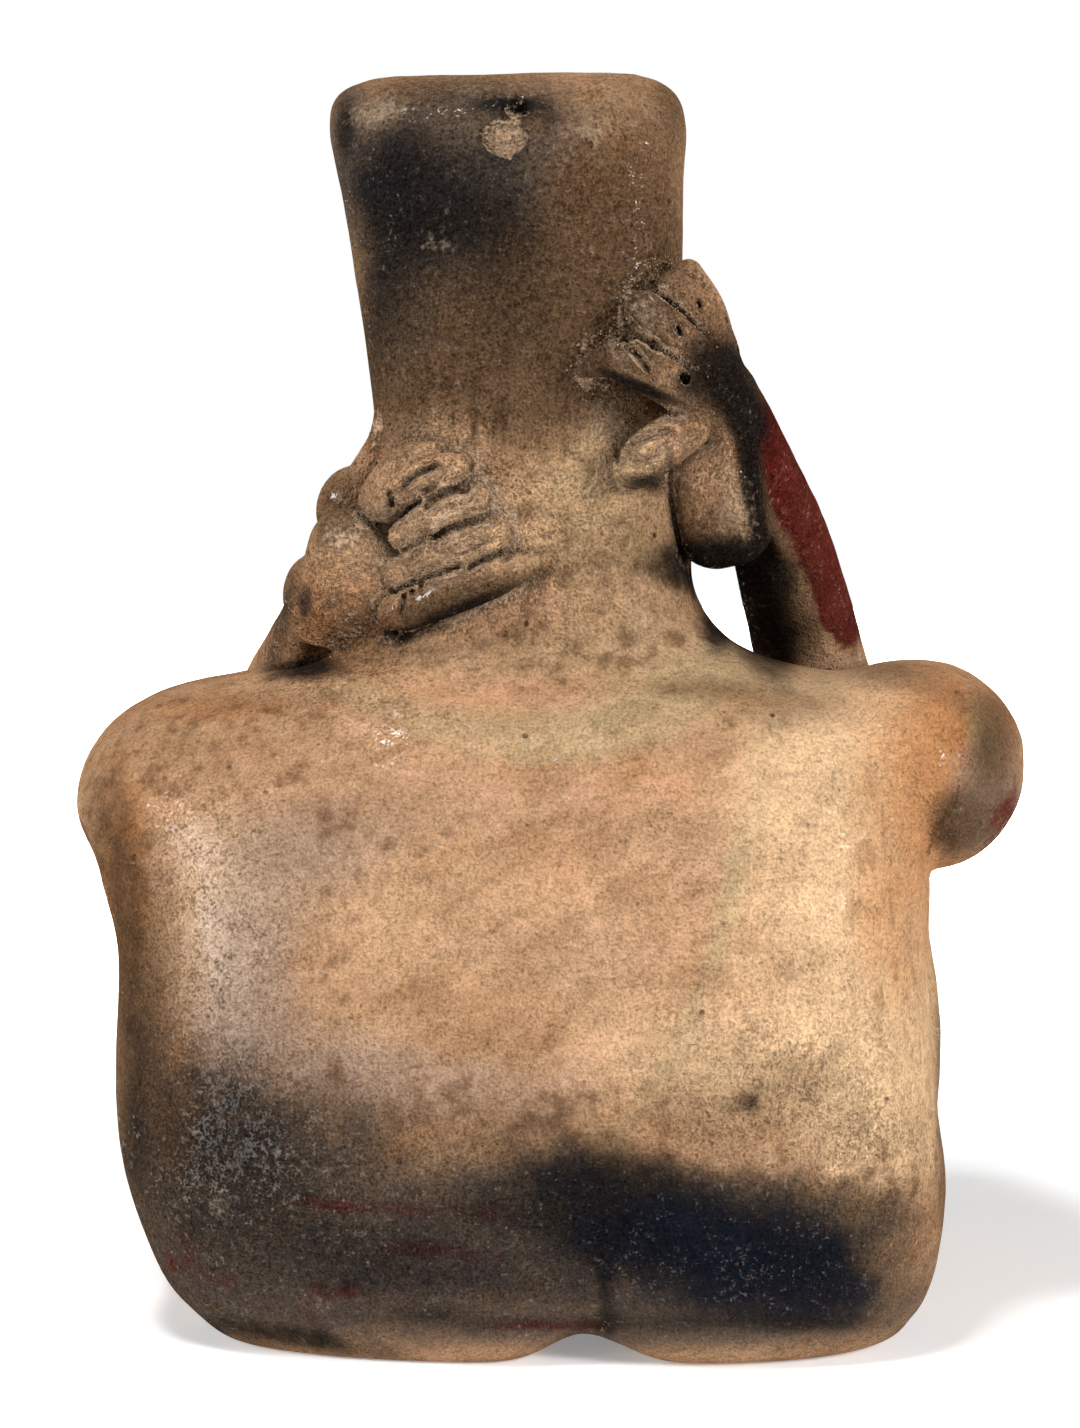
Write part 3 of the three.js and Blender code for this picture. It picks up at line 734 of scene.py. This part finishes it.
        (600, 335, 40, 20, -40, 0.4), (648, 296, 26, 12, -40, 0.7),
    ],
    "mottle": [
        (110, 850, 40, 80, 0, 1.0), (230, 730, 120, 40, 0, 0.8), (400, 840, 150, 60, 0, 0.6),
        (600, 560, 110, 80, 0, 0.75), (330, 620, 60, 70, 0, 0.8), (900, 1180, 60, 90, 0, 0.75),
        (480, 1120, 200, 50, 0, 0.7), (330, 940, 60, 60, 0, 0.6), (690, 600, 30, 80, 0, 0.7),
        (250, 1150, 140, 120, 0, 0.8), (640, 1130, 80, 40, 0, 0.8), (520, 260, 150, 170, 0, 0.8),
        (720, 730, 60, 24, 0, 0.6), (850, 800, 100, 120, 0, 0.2), (460, 1000, 120, 60, 0, 0.35),
        (300, 780, 80, 40, 10, 0.7), (170, 760, 60, 40, 0, 0.9), (450, 640, 80, 40, 0, 0.6),
        (600, 660, 100, 40, 0, 0.7), (150, 950, 30, 120, 0, 0.9), (560, 480, 80, 50, 0, 0.5),
    ],
    "streak": [
        (500, 395, 80, 60, 0, 1.0), (560, 620, 100, 60, 0, 0.35), (890, 950, 50, 200, 0, 0.4),
    ],
    "worn": [
        (775, 1115, 100, 70, 0, 1.0), (690, 1060, 60, 50, 0, 0.7), (506, 138, 21, 25, 0, 1.0),
        (730, 500, 40, 46, -10, 0.7),
    ],
    "gritty": [
        (510, 240, 190, 170, 0, 1.0), (470, 400, 130, 80, 0, 1.0), (450, 530, 120, 90, 0, 0.9),
        (340, 620, 80, 90, 0, 1.0), (660, 350, 90, 90, 0, 1.0), (730, 500, 60, 90, 0, 0.8),
        (600, 560, 100, 90, 0, 0.3), (775, 1110, 110, 70, 0, 0.4), (210, 960, 70, 150, 0, 0.6),
        (280, 1200, 200, 110, 0, 0.8), (500, 1230, 120, 80, 0, 0.6), (890, 1210, 60, 80, 0, 0.4),
    ],
    "sheen": [
        (222, 940, 44, 120, 0, 1.0), (196, 850, 30, 50, 0, 0.8), (262, 1000, 30, 60, 0, 0.6),
        (820, 705, 40, 40, 0, 0.45), (700, 1270, 160, 50, 0, 0.15), (436, 584, 36, 7, -28, 1.0),
        (336, 494, 9, 7, 0, 1.0), (300, 1150, 120, 100, 0, 0.25), (385, 722, 26, 20, 0, 0.6),
        (385, 590, 6, 16, 0, 0.8), (390, 240, 60, 60, 0, 0.15), (230, 1160, 60, 60, 0, 0.4),
        (610, 120, 40, 12, 0, 0.4), (860, 900, 30, 120, 0, 0.1),
    ],
}
# Where each look lies on the other sides, in four-hundredths of the height: the middle, the half
# sizes and the strength
HIDDEN = {
    "slip": [
        ((-92, -78, 225), (24, 40, 60), 1.0), ((92, -78, 200), (24, 40, 50), 0.9),
        ((105, -130, 90), (30, 34, 60), 0.8), ((-105, -130, 90), (30, 34, 60), 0.9),
        ((0, -60, 380), (60, 40, 24), 0.7),
    ],
    "smoke_and_shade": [
        ((60, -20, 350), (24, 50, 70), 0.8), ((130, 20, 60), (16, 60, 60), 0.7),
        ((-100, -150, 10), (34, 34, 16), 0.7), ((40, -60, 60), (60, 20, 60), 0.6),
        ((-45, 0, 245), (20, 22, 14), 1.0), ((-60, -20, 230), (14, 30, 40), 1.0),
    ],
    "cloud": [((-60, -60, 30), (70, 40, 30), 0.7), ((-125, 20, 30), (14, 50, 24), 0.6)],
    "brown_and_shade": [((0, -50, 330), (60, 30, 60), 0.7), ((0, -60, 120), (120, 40, 60), 0.5)],
    "mottle": [((0, -80, 150), (150, 60, 200), 0.7)],
    "pale": [((0, -60, 265), (40, 30, 40), 0.4), ((-130, 10, 110), (20, 60, 70), 0.6)],
    "earth": [((0, -60, 285), (40, 20, 12), 0.4), ((0, -140, 14), (150, 40, 10), 0.5)],
    "orange": [((-138, -10, 170), (20, 60, 40), 0.5)],
}
RELIEF = {"size": 2.4, "depth": 0.38}
BUMP_DISTANCE = 0.0034
PINHOLES_PER_METRE = 85.0
DARKEST_GRAIN = 0.42
focal = CAMERA_LENS / CAMERA_SENSOR * PHOTO_HIGH
camera_turn = np.array(camera.rotation_quaternion.to_matrix())
from_eye = ((places - MIDDLE) * SHARE - np.array(camera.location)) @ camera_turn
seen_x = PHOTO_WIDE / 2 - focal * from_eye[:, 0] / from_eye[:, 2]
seen_y = PHOTO_HIGH / 2 + focal * from_eye[:, 1] / from_eye[:, 2]
facing = smoothstep(normals @ -np.array(camera_forward), -0.25, 0.1)


def oval(u, v, w=0.0):
    """1 in the middle of an oval, half at its edge and nearly 0 well outside it"""
    spread = u * u + v * v + w * w
    return np.exp(-0.5 * spread - 0.2 * spread * spread)


looks = {}
for look, patches in SEEN.items():
    looks[look] = np.zeros(len(places), np.float32)
    for across, down, wide, high, turn, strength in patches:
        c, s = math.cos(math.radians(turn)), math.sin(math.radians(turn))
        right, below = seen_x - across, seen_y - down
        mask = oval((right * c + below * s) / wide, (below * c - right * s) / high)
        looks[look] = 1 - (1 - looks[look]) * (1 - strength * mask * facing)
for look, patches in HIDDEN.items():
    for middle, halves, strength in patches:
        u, v, w = ((places - middle) / halves).T
        looks[look] = 1 - (1 - looks[look]) * (1 - strength * oval(u, v, w) * (1 - facing))
looks["hollow"] = np.clip(hollow, 0, 1)
looks["crease_shade"] = np.clip(crease_shade, 0, 1)
for look, values in looks.items():
    skin.attributes.new(look, "FLOAT", "POINT").data.foreach_set("value", values.astype(np.float32))

# Worn and earthy places stand up in coarse crumbs
coarse = waves(RELIEF["size"], RELIEF["size"]) + 0.5 * waves(RELIEF["size"] / 2, RELIEF["size"] / 2)
rough_places = np.clip(looks["earth"] + looks["hollow"] * 0.5 + looks["worn"] * 0.8 - 0.35, 0, 1)
places += normals * (coarse * rough_places * RELIEF["depth"])[:, None]
low_corner, high_corner = (np.array(corner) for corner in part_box("crouching_figure"))
finished = np.clip((places - MIDDLE) * SHARE, low_corner, high_corner)
skin.vertices.foreach_set("co", finished.astype(np.float32).ravel())
skin.update()
skin.shade_smooth()


class Wire:
    """A socket of a material's node tree, whose arithmetic is written as Python"""

    def __init__(self, tree, socket):
        self.tree = tree
        self.socket = socket

    @classmethod
    def node(cls, tree, kind, settings=None, inputs=None, output=0):
        made = tree.nodes.new(kind)
        for name, value in (settings or {}).items():
            setattr(made, name, value)
        for name, value in (inputs or {}).items():
            if isinstance(value, Wire):
                tree.links.new(value.socket, made.inputs[name])
            else:
                made.inputs[name].default_value = value
        return None if output is None else cls(tree, made.outputs[output])

    def math(self, operation, first, second):
        return Wire.node(self.tree, "ShaderNodeMath", {"operation": operation}, {0: first, 1: second})

    def __add__(self, other):
        return self.math("ADD", self, other)

    def __radd__(self, other):
        return self.math("ADD", other, self)

    def __sub__(self, other):
        return self.math("SUBTRACT", self, other)

    def __rsub__(self, other):
        return self.math("SUBTRACT", other, self)

    def __mul__(self, other):
        return self.math("MULTIPLY", self, other)

    def __rmul__(self, other):
        return self.math("MULTIPLY", other, self)


burnished = bpy.data.materials.new("burnished_clay")
burnished.use_nodes = True
tree = burnished.node_tree
shader = tree.nodes["Principled BSDF"]


def rise(value, low, high):
    """0 below low and 1 above high, with a soft step between"""
    settings = {"interpolation_type": "SMOOTHSTEP"}
    limits = {"Value": value, "From Min": low, "From Max": high}
    return Wire.node(tree, "ShaderNodeMapRange", settings, limits)


def tint(under, over, amount):
    """A colour laid over another"""
    settings = {"data_type": "RGBA", "clamp_factor": True}
    colours = [one if isinstance(one, Wire) else (*one, 1) for one in (under, over)]
    return Wire.node(tree, "ShaderNodeMix", settings, {0: amount, 6: colours[0], 7: colours[1]}, 2)


def blend(under, over, amount):
    """A number laid over another"""
    return Wire.node(tree, "ShaderNodeMix", {"clamp_factor": True}, {0: amount, 2: under, 3: over})


def grain(size, stretch=(1, 1, 1), detail=3.0, rough=0.55, offset=0.0, turn=0.0):
    """Cloudy unevenness of about a size in metres, stretched along lines that turn about Y"""
    mapping = {"Vector": clay_object, "Scale": tuple(s / size for s in stretch), "Location": (offset,) * 3}
    if turn:
        tilt = {"Vector": clay_object, "Rotation": (0, turn, 0)}
        mapping["Vector"] = Wire.node(tree, "ShaderNodeMapping", None, tilt)
    vector = Wire.node(tree, "ShaderNodeMapping", None, mapping)
    unevenness = {"Vector": vector, "Scale": 1.0, "Detail": detail, "Roughness": rough}
    return Wire.node(tree, "ShaderNodeTexNoise", None, unevenness)


def look_of(name):
    return Wire.node(tree, "ShaderNodeAttribute", {"attribute_name": name}, None, 2)


def shade(under, amount):
    """A colour made darker or lighter by a number"""
    settings = {"data_type": "RGBA", "blend_type": "MULTIPLY"}
    return Wire.node(tree, "ShaderNodeMix", settings, {0: 1.0, 6: under, 7: amount}, 2)


def soft(name, noise_wire, spread=0.6, low=0.1, high=0.95):
    """How strongly a look shows, with its edge broken up by a noise"""
    return rise(look_of(name) + (noise_wire - 0.5) * spread, low, high)


clay_object = Wire.node(tree, "ShaderNodeTexCoord", None, None, 3)
drift = grain(0.045, detail=4)
billow = grain(0.020, detail=6, rough=0.62, offset=3.1)
fleck = grain(0.0075, detail=5, rough=0.62, offset=7.7)
dust = grain(0.0022, detail=3, rough=0.7, offset=1.3)
grit = grain(0.0009, detail=2, rough=0.6, offset=5.2)
strands = grain(0.0048, (1, 1, 0.1), detail=4, rough=0.6, offset=2.4)
smear = grain(0.011, (0.35, 1, 1), detail=5, rough=0.64, offset=9.1, turn=-0.5)
cloudy = billow * 0.5 + fleck * 0.35 + dust * 0.15

colour = tint(TAN, BUFF, rise(drift * 0.35 + smear * 0.65, 0.36, 0.58))
colour = tint(colour, ROSE, rise(billow * 0.5 + smear * 0.5, 0.47, 0.64) * 0.55)
colour = tint(colour, PALE, soft("pale", billow, 0.9) * 0.85)
colour = tint(colour, ORANGE, soft("orange", cloudy, 1.4) * 0.8)
colour = tint(colour, VIOLET, soft("violet", smear * 0.5 + cloudy * 0.5, 1.4) * 0.75)
colour = tint(colour, MORTAR, soft("mortar", cloudy, 1.9, 0.25, 1.1) * 0.7)
mottles = rise(fleck * 0.4 + smear * 0.25 + billow * 0.2 + dust * 0.15 + look_of("mottle") * 0.1, 0.53, 0.67)
colour = tint(colour, RUSSET, mottles * rise(look_of("mottle"), 0.0, 0.7) * 0.8)
drips = rise(strands * 0.5 + fleck * 0.35 + dust * 0.15, 0.48, 0.6)
colour = tint(colour, RUSSET, drips * soft("streak", billow, 1.2, 0.15, 0.9) * 0.85)
# Brown clay, and painted shade under the fingers and on the neck's shaded side
colour = tint(colour, BROWN_AND_SHADE, soft("brown_and_shade", smear * 0.35 + cloudy * 0.65, 1.3, 0.05, 0.95) * 0.88)
colour = tint(colour, ASH, soft("ash", smear * 0.3 + cloudy * 0.7, 1.3, 0.1, 0.95) * 0.9)
colour = tint(colour, SLIP, soft("slip", cloudy, 1.8, 0.25, 0.7) * 0.96)
# Smoke and painted shadows darken the colour, and the looks after it show less where they lie
soot_and_shade = soft("smoke_and_shade", smear * 0.3 + cloudy * 0.7, 1.5, 0.1, 0.95) * 0.95
colour = tint(colour, SMOKE_AND_SHADE, soot_and_shade)
clouded = soft("cloud", cloudy, 1.3, 0.1, 0.95) * 0.95
colour = tint(colour, CLOUD, clouded)
colour = tint(colour, DUST, soft("dusty", cloudy * 0.6 + dust * 0.4, 2.2, 0.3, 1.0) * 0.9)
# Burnishing wears the dark looks off the high grains, and dark stays in the pits
dots = Wire.node(tree, "ShaderNodeTexVoronoi", None, {"Vector": clay_object, "Scale": PINHOLES_PER_METRE})
dots = (1 - rise(dots, 0.05, 0.1)) * rise(billow, 0.48, 0.6)
grains = rise(grit * 0.35 + dust * 0.35 + fleck * 0.3, 0.55, 0.68)
unsmoked_unshaded = (1 - soot_and_shade * 0.75) * (1 - clouded * 0.75)
colour = tint(colour, SPECK, grains * unsmoked_unshaded * 0.5)
colour = tint(colour, BROWN_AND_SHADE, rise(dust * 0.5 + fleck * 0.5, 0.52, 0.68) * unsmoked_unshaded * 0.5)
colour = tint(colour, BROWN_AND_SHADE, dots * 0.8)
earth = rise(
    look_of("earth") * 0.9 + look_of("hollow") * 0.8 + (fleck - 0.5) * 1.4 + (dust - 0.5) * 1.4, 0.62, 1.1
)
colour = tint(colour, EARTH, earth * 0.85)
# Painted shade in the creases, where clay lies close in front
painted_crease_shade = rise(look_of("crease_shade") + (dust - 0.5) * 1.4, 0.45, 1.05)
colour = tint(colour, SMOKE_AND_SHADE, painted_crease_shade * 0.85)
colour = tint(colour, BROWN_AND_SHADE, drips * look_of("streak") * 0.55)
worn = rise(look_of("worn") + (fleck - 0.5) * 0.8, 0.2, 0.9)
craters = rise(dust * 0.7 + grit * 0.3, 0.54, 0.66) * worn
colour = tint(colour, RUSSET, craters * 0.4)
grime = (grit - 0.5) * 1.4 + (dust - 0.5) * 1.3 + (fleck - 0.5) * 0.6
grime = grime + (billow - 0.5) * 0.6 + (smear - 0.5) * 0.5
brightness = grime * (look_of("gritty") * 1.1 + 1) + look_of("gritty") * 0.09 + 0.98
colour = shade(colour, brightness.math("MAXIMUM", brightness, DARKEST_GRAIN))

sheen = look_of("sheen") + (smear - 0.5) * 1.2 + (dust - 0.5) * 3.0 + (grit - 0.5) * 2.5
sheen = rise(sheen, 0.55, 0.85)
sheen = sheen * (1 - earth)
rough = blend(ROUGH["worn"], ROUGH["burnished"], sheen)
rough = blend(rough, ROUGH["earth"], earth)
rough = blend(rough, ROUGH["earth"], worn * 0.7)

height = smear * 0.4 + strands * 0.12 + fleck * (0.35 + earth * 0.8)
height = height + dust * (0.6 + earth * 0.7 + worn * 0.8) + grit * (0.35 + earth * 0.5 + worn * 0.6)
height = height - craters * 0.5 - dots * 0.6
height = height * (look_of("gritty") * 1.2 + 1)
pressed = {"Strength": 1.0, "Distance": BUMP_DISTANCE, "Height": height}
bumps = Wire.node(tree, "ShaderNodeBump", None, pressed)
tree.links.new(sheen.socket, shader.inputs["Coat Weight"])
shader.inputs["Coat Roughness"].default_value = SHEEN_ROUGHNESS
shader.inputs["Specular IOR Level"].default_value = SHINE
tree.links.new(colour.socket, shader.inputs["Base Color"])
tree.links.new(rough.socket, shader.inputs["Roughness"])
tree.links.new(bumps.socket, shader.inputs["Normal"])
skin.materials.clear()
skin.materials.append(burnished)


# Dried earth
# Crumbs of the earth that the figure lay in still cling in the hollows of the hands, round the
# fingers and in the filled vent. They are scattered over the skin where it is earthy.
CRUMB_SIZE = 0.0003
CRUMBS_PER_SQUARE_METRE = 2.0e6
# The least hollow, worn and facing places that hold crumbs, and how fast they thicken
CRUMBS_FROM = {"hollow": 0.4, "worn": 0.5, "facing": 0.3}
CRUMBS_RISE = 3
scatter = bpy.data.node_groups.new("scatter_crumbs", "GeometryNodeTree")
for name, kind, flow in (
    ("Clay", "NodeSocketGeometry", "INPUT"),
    ("Crumb size", "NodeSocketFloat", "INPUT"),
    ("Crumbs per square metre", "NodeSocketFloat", "INPUT"),
    ("Crumbs", "NodeSocketGeometry", "OUTPUT"),
):
    scatter.interface.new_socket(name, in_out=flow, socket_type=kind)
given = Wire.node(scatter, "NodeGroupInput").socket.node.outputs
clay_in, size_in, count_in = (Wire(scatter, given[k]) for k in range(3))
earthy = Wire.node(scatter, "GeometryNodeInputNamedAttribute", {"data_type": "FLOAT"}, {"Name": "crumbs"})
sowing = {"Mesh": clay_in, "Density": earthy * count_in, "Seed": 4}
sown = Wire.node(scatter, "GeometryNodeDistributePointsOnFaces", None, sowing)
ball = Wire.node(scatter, "GeometryNodeMeshIcoSphere", None, {"Radius": 1.0, "Subdivisions": 1})
size_range = {2: size_in * 0.45, 3: size_in * 1.3, "Seed": 7}
sizes = Wire.node(scatter, "FunctionNodeRandomValue", {"data_type": "FLOAT"}, size_range, 1)
turn_range = {0: (0.0, 0.0, 0.0), 1: (6.28, 6.28, 6.28), "Seed": 9}
turns = Wire.node(scatter, "FunctionNodeRandomValue", {"data_type": "FLOAT_VECTOR"}, turn_range)
placed = {"Points": sown, "Instance": ball, "Rotation": turns, "Scale": sizes}
crumbs_out = Wire.node(scatter, "GeometryNodeInstanceOnPoints", None, placed)
crumbs_out = Wire.node(scatter, "GeometryNodeRealizeInstances", None, {"Geometry": crumbs_out})
dried = bpy.data.materials.new("dried_earth")
finish = {"Geometry": crumbs_out, "Material": dried}
crumbs_out = Wire.node(scatter, "GeometryNodeSetMaterial", None, finish)
Wire.node(scatter, "NodeGroupOutput", None, {0: crumbs_out}, output=None)

crumbs_mask = np.clip(looks["earth"] * (looks["hollow"] - CRUMBS_FROM["hollow"]) * CRUMBS_RISE, 0, 1)
worn_mask = np.clip(looks["worn"] * looks["earth"] - CRUMBS_FROM["worn"], 0, 1)
crumbs_mask = np.maximum(crumbs_mask, worn_mask) * (facing > CRUMBS_FROM["facing"])
skin.attributes.new("crumbs", "FLOAT", "POINT").data.foreach_set("value", crumbs_mask.astype(np.float32))
sower = bpy.data.objects.new("earth_crumbs", skin)
bpy.context.scene.collection.objects.link(sower)
scattering = sower.modifiers.new("scatter", "NODES")
scattering.node_group = scatter
sizes_set = {"Crumb size": CRUMB_SIZE, "Crumbs per square metre": CRUMBS_PER_SQUARE_METRE}
for item in scatter.interface.items_tree:
    if item.name in sizes_set:
        scattering[item.identifier] = sizes_set[item.name]
crumbs = bpy.data.meshes.new_from_object(sower.evaluated_get(bpy.context.evaluated_depsgraph_get()))
sower.modifiers.clear()
sower.data = crumbs
dried.use_nodes = True
tree = dried.node_tree
shader = tree.nodes["Principled BSDF"]
clay_object = Wire.node(tree, "ShaderNodeTexCoord", None, None, 3)
crumb_colour = tint(SPECK, EARTH, rise(grain(0.003, offset=4.4), 0.4, 0.7) * 0.55)
tree.links.new(crumb_colour.socket, shader.inputs["Base Color"])
shader.inputs["Roughness"].default_value = ROUGH["earth"]
shader.inputs["Specular IOR Level"].default_value = SHINE
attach(sower, "root")


# Floor and light
# A pale floor that glows weakly, before a white surround. Soft lamps stand left and right of
# the camera, a low one on the left gives the sheen, one hangs above, and a large one lights the
# floor beyond the figure.
FLOOR_SIZE = 8.0
FLOOR_GLOW = 0.25
FLOOR_COLOUR = (0.93, 0.93, 0.93, 1)
FLOOR_ROUGHNESS = 0.9
WHITE = (1, 1, 1, 1)
half = FLOOR_SIZE / 2
floor_mesh = bpy.data.meshes.new("floor")
floor_corners = [(-half, -half, 0), (half, -half, 0), (half, half, 0), (-half, half, 0)]
floor_mesh.from_pydata(floor_corners, [], [(0, 1, 2, 3)])
floor = bpy.data.objects.new("floor", floor_mesh)
bpy.context.scene.collection.objects.link(floor)
floor_finish = bpy.data.materials.new("pale_floor")
floor_finish.use_nodes = True
floor_shader = floor_finish.node_tree.nodes["Principled BSDF"]
floor_shader.inputs["Base Color"].default_value = FLOOR_COLOUR
floor_shader.inputs["Roughness"].default_value = FLOOR_ROUGHNESS
floor_shader.inputs["Emission Color"].default_value = WHITE
floor_shader.inputs["Emission Strength"].default_value = FLOOR_GLOW
floor_mesh.materials.append(floor_finish)

# The surround looks white, and lights the figure only weakly
SURROUND_SEEN, SURROUND_LIGHT = 1.0, 0.1
world = bpy.data.worlds.new("surround")
world.use_nodes = True
sky = world.node_tree
seen_directly = Wire.node(sky, "ShaderNodeLightPath")
sky_strength = SURROUND_LIGHT + seen_directly * (SURROUND_SEEN - SURROUND_LIGHT)
sky.nodes["Background"].inputs["Color"].default_value = WHITE
sky.links.new(sky_strength.socket, sky.nodes["Background"].inputs["Strength"])
bpy.context.scene.world = world


def softbox(name, place, aim, size, power, spread=180):
    data = bpy.data.lights.new(name, "AREA")
    data.shape = "RECTANGLE"
    data.size, data.size_y = size
    data.energy = power
    data.spread = math.radians(spread)
    lamp = bpy.data.objects.new(name, data)
    bpy.context.scene.collection.objects.link(lamp)
    lamp.location = place
    lamp.rotation_mode = "QUATERNION"
    lamp.rotation_quaternion = (Vector(aim) - Vector(place)).to_track_quat("-Z", "Y")


softbox("left_softbox", (1.35, 0.65, 0.8), CAMERA_AIM, (0.3, 0.6), 14)
softbox("sheen_softbox", (1.05, 1.1, 0.45), CAMERA_AIM, (0.25, 0.6), 3.5)
softbox("right_softbox", (-1.25, 0.9, 0.7), CAMERA_AIM, (0.3, 0.6), 25)
softbox("top_softbox", (0.3, 0.7, 1.6), CAMERA_AIM, (0.25, 0.25), 16)
softbox("floor_softbox", (0, -3.0, 1.5), (0, -3.0, 0), (6.0, 4.6), 420, 50)
bpy.context.scene.view_settings.view_transform = "Standard"
